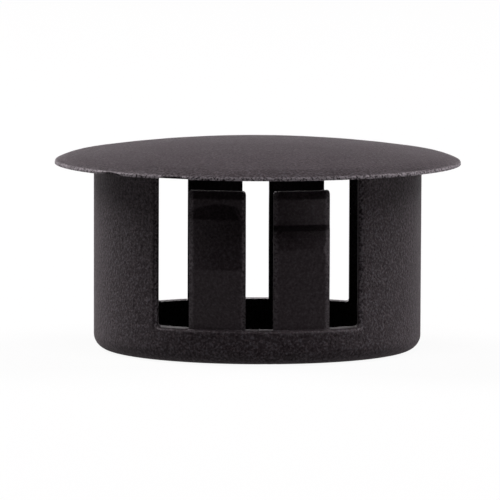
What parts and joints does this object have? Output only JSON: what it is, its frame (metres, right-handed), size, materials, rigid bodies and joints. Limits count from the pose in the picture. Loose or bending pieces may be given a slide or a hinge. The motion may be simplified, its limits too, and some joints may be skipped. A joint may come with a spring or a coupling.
{
  "type": "snap-in hole plug",
  "caption": "Snap-in plug that closes a round panel hole: low domed head on a hollow windowed skirt with stepped spring fingers that lock behind panels of several thicknesses.",
  "frame": {"origin": "on the plug's axis at the foot of the skirt, which it stands on", "axes": "+Z along the axis, from the foot of the skirt up to the domed head; -Y is the front window and +X is to its right"},
  "size_m": [0.027, 0.027, 0.0139],
  "materials": {
    "plug_plastic": "fine matte texture, moulded black nylon"
  },
  "bodies": {
    "root": {"hole_plug": "plug_plastic"}
  },
  "joints": []
}
